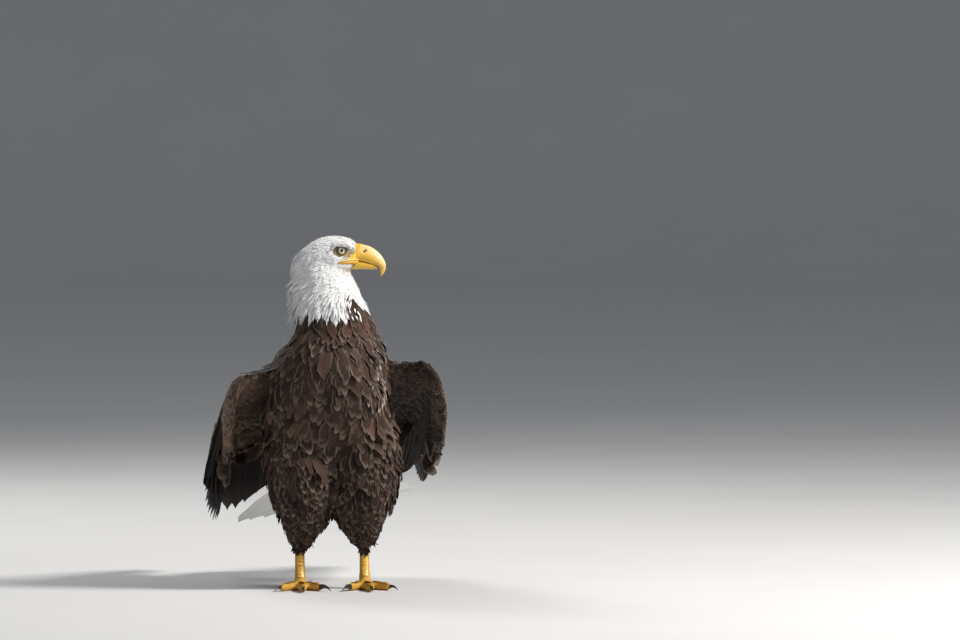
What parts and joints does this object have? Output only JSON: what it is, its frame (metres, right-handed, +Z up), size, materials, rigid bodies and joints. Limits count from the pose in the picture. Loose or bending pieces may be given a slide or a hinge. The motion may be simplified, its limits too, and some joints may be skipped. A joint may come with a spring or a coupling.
{
  "type": "bald eagle, standing life-size model",
  "caption": "Standing bald eagle with its head turned to its left, wings a little open and drooped behind it, and a fanned tail.",
  "frame": {"origin": "middle of the ground under the whole bird", "axes": "+Z up, -Y the way the chest faces, +X the bird's own left"},
  "size_m": [0.3868, 0.5598, 0.5686],
  "materials": {
    "white_plumage": "soft matte feathers",
    "brown_plumage": "soft matte feathers with paler edges",
    "flight_feathers": "sleek feathers with a faint sheen",
    "horn": "smooth satin horn",
    "eyes": "wet gloss",
    "foot_skin": "scaly skin",
    "claws": "polished horn"
  },
  "bodies": {
    "root": {"head": "white_plumage", "neck": "white_plumage", "trunk": "brown_plumage", "tail": "white_plumage", "upper_bill": "horn", "lower_bill": "horn", "left_eye": "eyes", "right_eye": "eyes", "left_wing_arm": "brown_plumage", "left_wing_hand": "brown_plumage", "left_secondaries": "flight_feathers", "left_primaries": "flight_feathers", "left_thigh": "brown_plumage", "left_shank": "foot_skin", "left_inner_toe": "foot_skin", "left_inner_claw": "claws", "left_middle_toe": "foot_skin", "left_middle_claw": "claws", "left_outer_toe": "foot_skin", "left_outer_claw": "claws", "left_hind_toe": "foot_skin", "left_hind_claw": "claws", "right_wing_arm": "brown_plumage", "right_wing_hand": "brown_plumage", "right_secondaries": "flight_feathers", "right_primaries": "flight_feathers", "right_thigh": "brown_plumage", "right_shank": "foot_skin", "right_inner_toe": "foot_skin", "right_inner_claw": "claws", "right_middle_toe": "foot_skin", "right_middle_claw": "claws", "right_outer_toe": "foot_skin", "right_outer_claw": "claws", "right_hind_toe": "foot_skin", "right_hind_claw": "claws"}
  },
  "joints": []
}
